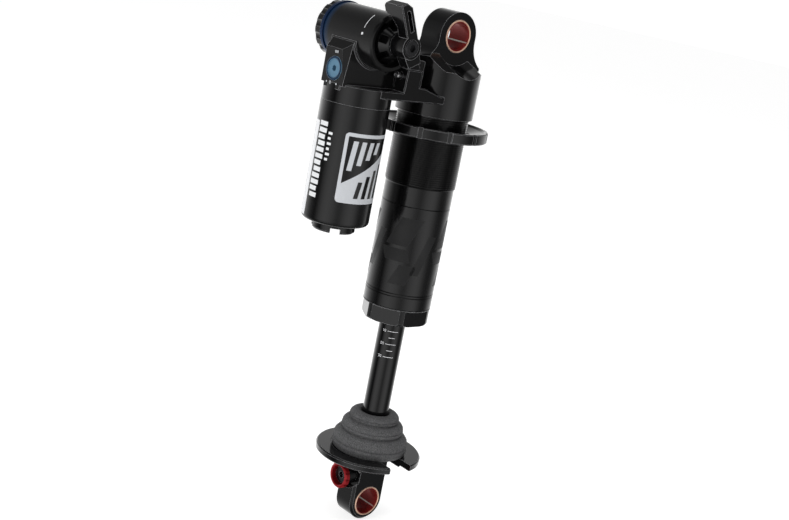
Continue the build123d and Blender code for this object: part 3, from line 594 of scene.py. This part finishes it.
# Plan angles of the stripe, the blocks and the ticks; 180 is the can's outermost line.
BAND_ANGLES = (150, 167.5)
BAND_LOW = 143.4
BAND_HIGH = 185.7
BLOCK_ANGLES = (171, 189.5)
BLOCK_COUNT = 6
BLOCK_TOP = 186.2
BLOCK_STEP = 5.75
BLOCK_HEIGHT = 2.0
BLOCK_GAP = 0.9
BLOCK_INSET = 0.55
TICK_ANGLES = (194, 201.5)
TICK_COUNT = 6
TICK_LOW = 181.2
TICK_STEP = 2.3
TICK_HEIGHT = 1.1
TICK_INSET = 0.5


def side_place(angle):
    """Distance round the can from its outermost line, for a plan angle in degrees."""
    return math.radians(angle - 180) * CAN_RADIUS


def side_band():
    """White stripe down the reservoir's outer side, with two columns of plain blocks beside it."""
    wrap = upright_wrap(CAN_X, CAN_RADIUS, 180, 0.03)
    band = rounded_rectangle(*(side_place(angle) for angle in BAND_ANGLES), BAND_LOW, BAND_HIGH, 0.4)
    finish_art(flat_art([band]), "side_band", "damper_body", "white_ink", wrap)
    left, right = (side_place(angle) for angle in BLOCK_ANGLES)
    blocks = []
    for n in range(BLOCK_COUNT):
        top = BLOCK_TOP - BLOCK_STEP * n
        second = top - BLOCK_HEIGHT - BLOCK_GAP
        inset = BLOCK_INSET * (n % 2)
        blocks.append(slanted_bar(left + inset, right, second - BLOCK_HEIGHT, second, 0))
        blocks.append(slanted_bar(left, right - inset, top - BLOCK_HEIGHT, top, 0))
    finish_art(flat_art(blocks, 0.6), "side_blocks", "damper_body", "white_ink", wrap)
    left, right = (side_place(angle) for angle in TICK_ANGLES)
    ticks = []
    for n in range(TICK_COUNT):
        low = TICK_LOW - TICK_STEP * n
        ticks.append(slanted_bar(left, right - TICK_INSET * (n % 2), low, low + TICK_HEIGHT, 0))
    finish_art(flat_art(ticks, 0.6), "side_ticks", "damper_body", "white_ink", wrap)


def ring_of_points(radius, count, place):
    """Points round a circle, put in space by a function of the two offsets from its centre."""
    turns = [2 * math.pi * n / count for n in range(count)]
    return [place(radius * math.cos(t), radius * math.sin(t)) for t in turns]


def lathe(name, rows, count, place):
    """Closed ring of quads from (radius, depth) rows about any axis."""
    points = []
    for radius, depth in rows:
        points += ring_of_points(radius, count, lambda a, b, d=depth: place(a, b, d))
    faces = []
    for r in range(len(rows)):
        below = (r + 1) % len(rows)
        for c in range(count):
            beside = (c + 1) % count
            faces.append((r * count + c, r * count + beside, below * count + beside, below * count + c))
    return mesh_from(name, points, faces)


RIM_RADIUS = 7.12
RIM_HALF = 0.34
SEAM_ANGLES = {"upper": -22, "lower": -36}
SEAM_HALF = 0.32


def liner_seams():
    """Butt joint of each wrapped liner: a thin light line along its bore."""
    for bush, body, height in (("upper", "damper_body", EYE_TO_EYE), ("lower", "shaft", 0.0)):
        art = flat_art([slanted_bar(-SEAM_HALF, SEAM_HALF, -EYE_HALF + 0.1, EYE_HALF - 0.1, 0)], 0.2)

        def place(x, y, height=height, start=SEAM_ANGLES[bush]):
            turn = math.radians(start) + x / LINER_BORE
            radius = LINER_BORE - 0.02
            return (radius * math.cos(turn), y, height + radius * math.sin(turn))

        finish_art(art, bush + "_liner_seam", body, "bright_seam", place)


def bush_rims():
    """Rolled bright rim of each bush shell, standing just proud of the eyelet's faces."""
    for bush, body, height in (("upper", "damper_body", EYE_TO_EYE), ("lower", "shaft", 0.0)):
        for side in (-1, 1):
            def place(a, b, depth, side=side, height=height):
                return (a, side * (EYE_HALF + depth), height + b)

            turns = [math.radians(20.0 * n) for n in range(10)]
            rows = [(RIM_RADIUS + RIM_HALF * math.cos(t), 0.05 + RIM_HALF * math.sin(t)) for t in turns]
            rows += [(RIM_RADIUS - RIM_HALF, -0.3), (RIM_RADIUS + RIM_HALF, -0.3)]
            mesh = lathe(bush + "_bush_rim", rows, 72, place)
            name = bush + "_bush_rim_" + ("front" if side < 0 else "back")
            add_piece(name, mesh, body, "bronze", 50)


# Distances round the barrel are measured from its top line.
ARC_Y = -10.8
ARC_START = 7.5
ARC_END = 15.0
ARC_HALF = 0.16
DOT_GAP = 2.6
DOT_RADIUS = 0.6


def barrel_arc():
    """White line round the barrel that shows the lever's swing, with a dot beyond its end."""
    wrap = barrel_wrap(90)
    line = slanted_bar(ARC_START, ARC_END, ARC_Y - ARC_HALF, ARC_Y + ARC_HALF, 0)
    finish_art(flat_art([line], 0.5), "barrel_arc", "damper_body", "white_ink", wrap)
    dot = flat_art([disc_outline(ARC_END + DOT_GAP, ARC_Y, DOT_RADIUS)], 0.5)
    finish_art(dot, "barrel_dot", "damper_body", "white_ink", wrap)


DISH_RADIUS = 4.1
RING_PROUD = 0.12
RING_SUNK = 0.2
FACET_MARK_Z = 203.0
FACET_DOT_Y = 3.4
FACET_DOT_RADIUS = 0.42
FACET_BARS = (-1.2, -0.4, 0.4)
FACET_BAR_WIDTH = 0.45
FACET_BAR_HEIGHTS = (215.9, 217.0)


def dial_details():
    """Dark outer ring of the high-speed dial and the plain marks round it."""
    front = dial_low.x
    centre = (dial_low.z + dial_high.z) / 2
    outer = (dial_high.z - dial_low.z) / 2

    def place(a, b, depth):
        return (front - depth, a, centre + b)

    inner = DISH_RADIUS + 0.05
    rows = [(outer - 0.05, 0.02), (outer - 0.3, RING_PROUD), (inner + 0.2, RING_PROUD), (inner, 0.02),
            (inner, -RING_SUNK), (outer - 0.05, -RING_SUNK)]
    mesh = lathe("high_speed_rim", rows, 64, place)
    add_piece("high_speed_rim", mesh, "high_speed_dial", "dark_blue", 50)
    marks = [disc_outline(y, FACET_MARK_Z, FACET_DOT_RADIUS) for y in (FACET_DOT_Y, -FACET_DOT_Y)]
    marks.append(slanted_bar(0.4, 0.95, FACET_MARK_Z - 0.7, FACET_MARK_Z + 0.7, 0.35))
    marks += [slanted_bar(y, y + FACET_BAR_WIDTH, *FACET_BAR_HEIGHTS, 0.0) for y in FACET_BARS]

    def on_facet(x, y):
        return (head_low.x - 0.03, x, y)

    finish_art(flat_art(marks, 0.6), "facet_marks", "damper_body", "silver_ink", on_facet)


# Panels of one repeat: left, right, low, high and lean.
PANELS = ((0.0, 11.0, 132.0, 145.5, 6.0), (1.0, 13.5, 124.5, 130.6, -2.6),
          (4.5, 13.0, 113.5, 123.2, 4.3), (14.0, 18.5, 119.0, 138.0, 6.4))
PANEL_REPEATS = 4
PANEL_ANGLE = -172
PANEL_LIFT = 0.012


def tube_pattern():
    """Satin panels round the glossier tube: four leaning plates, repeated."""
    step = 2 * math.pi * TUBE_RADIUS / PANEL_REPEATS
    shapes = []
    for n in range(PANEL_REPEATS):
        for left, right, low, high, lean in PANELS:
            shapes.append(slanted_bar(n * step + left, n * step + right, low, high, lean))
    wrap = upright_wrap(0, TUBE_RADIUS, PANEL_ANGLE, PANEL_LIFT)
    finish_art(flat_art(shapes, 1.0), "tube_pattern", "damper_body", "pattern", wrap)


# ---- Stage ---------------------------------------------------------------------------------------
def camera():
    lens = bpy.data.cameras.new("camera")
    lens.lens = CAMERA_LENS
    lens.sensor_width = SENSOR_WIDTH
    lens.clip_start = 0.01
    view = bpy.data.objects.new("camera", lens)
    bpy.context.scene.collection.objects.link(view)
    azimuth = math.radians(CAMERA_AZIMUTH)
    tilt = math.radians(90 - CAMERA_ELEVATION)
    roll = math.radians(CAMERA_ROLL)
    turn = Matrix.Rotation(azimuth, 4, "Z") @ Matrix.Rotation(tilt, 4, "X")
    turn = turn @ Matrix.Rotation(roll, 4, "Z")
    view.matrix_world = Matrix.Translation(Vector(CAMERA_PLACE) * MM) @ turn
    bpy.context.scene.camera = view


FLOOR_SIZE = 6.0
FLOOR_GAP = 0.0003


def floor():
    """Pale seamless floor under the lower eyelet."""
    level = cad_box[0].z - FLOOR_GAP
    corners = [(x * FLOOR_SIZE, y * FLOOR_SIZE, level) for x, y in ((-1, -1), (1, -1), (1, 1), (-1, 1))]
    mesh = bpy.data.meshes.new("floor")
    mesh.from_pydata(corners, [], [(0, 1, 2, 3)])
    paint = Paint("floor")
    paint.link(paint.blend(paint.noise(3, 2.0), (0.5, 0.5, 0.5), (0.52, 0.52, 0.52)), "Base Color")
    paint.set(Roughness=0.9, Specular_IOR_Level=0.0)
    paint.set(Emission_Color=(1, 1, 1, 1), Emission_Strength=0.8)
    mesh.materials.append(paint.material)
    ground = bpy.data.objects.new("floor", mesh)
    bpy.context.scene.collection.objects.link(ground)
    ground.visible_glossy = False


# Brightness of the studio round the horizon, by angle from the camera's side: softboxes with dark
# gaps between them. 0 is behind the camera, negative is to its left.
STUDIO = ((-180, 2.1), (-150, 2.2), (-130, 1.9), (-118, 1.5), (-106, 0.95), (-94, 0.42), (-82, 0.14),
          (-70, 0.01), (-58, 0.55), (-46, 1.05), (-30, 1.3), (-9, 1.0), (3, 0.6), (15, 0.4), (27, 0.8),
          (39, 1.08), (52, 1.22), (64, 1.0), (76, 0.5), (88, 0.18), (100, 0.16), (112, 0.27), (124, 0.82),
          (136, 1.15), (150, 1.45), (180, 1.8))
BRIGHTEST = 2.2
BACKDROP = 1.05
# Share of the horizon's brightness left at each angle above the horizon.
FALL_OFF = ((-90, 0.2), (-55, 0.3), (-35, 0.7), (-22, 1.0), (-8, 1.0), (6, 0.7), (16, 0.55), (22, 0.36),
            (27, 0.28), (34, 0.14), (42, 0.08), (90, 0.05))
CEILING = ((-90, 0.0), (50, 0.0), (60, 0.9), (90, 0.9))


def height_stops(table):
    """Ramp stops over half of one plus the sine of the angle above the horizon."""
    return [((math.sin(math.radians(angle)) + 1) / 2, level) for angle, level in table]


def ramp(nodes, stops):
    node = nodes.new("ShaderNodeValToRGB")
    elements = node.color_ramp.elements
    while len(elements) < len(stops):
        elements.new(0.5)
    for element, (place, level) in zip(elements, stops):
        element.position = place
        element.color = (level, level, level, 1)
    return node


def world():
    """White to the camera; to everything else, softboxes round a dark studio."""
    studio = bpy.data.worlds.new("studio")
    bpy.context.scene.world = studio
    studio.use_nodes = True
    nodes = studio.node_tree.nodes
    links = studio.node_tree.links
    nodes.clear()
    turn = nodes.new("ShaderNodeMapping")
    turn.inputs["Rotation"].default_value[2] = math.radians(-CAMERA_AZIMUTH)
    links.new(nodes.new("ShaderNodeTexCoord").outputs["Generated"], turn.inputs["Vector"])
    split = nodes.new("ShaderNodeSeparateXYZ")
    links.new(turn.outputs[0], split.inputs[0])

    def maths(kind, first, second=None):
        node = nodes.new("ShaderNodeMath")
        node.operation = kind
        for socket, value in zip(node.inputs, (first, second)):
            if isinstance(value, (int, float)):
                socket.default_value = value
            elif value is not None:
                links.new(value, socket)
        return node.outputs[0]

    away = maths("MULTIPLY", split.outputs["Y"], -1.0)
    angle = maths("ARCTAN2", split.outputs["X"], away)
    around = maths("MULTIPLY_ADD", angle, 1 / (2 * math.pi))
    around.node.inputs[2].default_value = 0.5
    panels = ramp(nodes, [(degrees / 360 + 0.5, level / BRIGHTEST) for degrees, level in STUDIO])
    links.new(around, panels.inputs[0])
    height = maths("MULTIPLY_ADD", split.outputs["Z"], 0.5)
    height.node.inputs[2].default_value = 0.5
    overhead = ramp(nodes, height_stops(CEILING))
    links.new(height, overhead.inputs[0])
    share = ramp(nodes, height_stops(FALL_OFF))
    links.new(height, share.inputs[0])
    walls = maths("MULTIPLY", maths("MULTIPLY", panels.outputs[0], share.outputs[0]), BRIGHTEST)
    level = maths("MAXIMUM", walls, overhead.outputs[0])
    seen = nodes.new("ShaderNodeBackground")
    seen.inputs["Color"].default_value = (1, 1, 1, 1)
    seen.inputs["Strength"].default_value = BACKDROP
    soft = nodes.new("ShaderNodeBackground")
    links.new(level, soft.inputs["Strength"])
    mix = nodes.new("ShaderNodeMixShader")
    links.new(nodes.new("ShaderNodeLightPath").outputs["Is Camera Ray"], mix.inputs["Fac"])
    links.new(soft.outputs[0], mix.inputs[1])
    links.new(seen.outputs[0], mix.inputs[2])
    output = nodes.new("ShaderNodeOutputWorld")
    links.new(mix.outputs[0], output.inputs["Surface"])


def softbox(name, place, aim, size, power):
    light = bpy.data.lights.new(name, "AREA")
    light.shape = "RECTANGLE"
    light.size, light.size_y = size
    light.energy = power
    lamp = bpy.data.objects.new(name, light)
    bpy.context.scene.collection.objects.link(lamp)
    turn = (Vector(aim) - Vector(place)).to_track_quat("-Z", "Y")
    lamp.matrix_world = Matrix.Translation(place) @ turn.to_matrix().to_4x4()
    lamp.visible_camera = False
    lamp.visible_glossy = False


# Each lamp: name, place, size in metres, and power in watts. All aim at the middle of the shock.
LAMPS = (("overhead", (-0.1, -0.1, 1.6), (1.6, 1.6), 12),
         ("left_key", (-1.3, -0.2, 0.7), (0.5, 0.9), 6))
LAMP_AIM = (-0.02, 0, 0.12)


def lights():
    for name, place, size, power in LAMPS:
        softbox(name, place, LAMP_AIM, size, power)


paint_cad_nodes()
damper_tube()
foam_bumper()
sag_marks()
reservoir_label()
side_band()
barrel_arc()
tube_pattern()
bush_rims()
liner_seams()
dial_details()
camera()
floor()
world()
lights()
bpy.context.scene.view_settings.view_transform = "Standard"
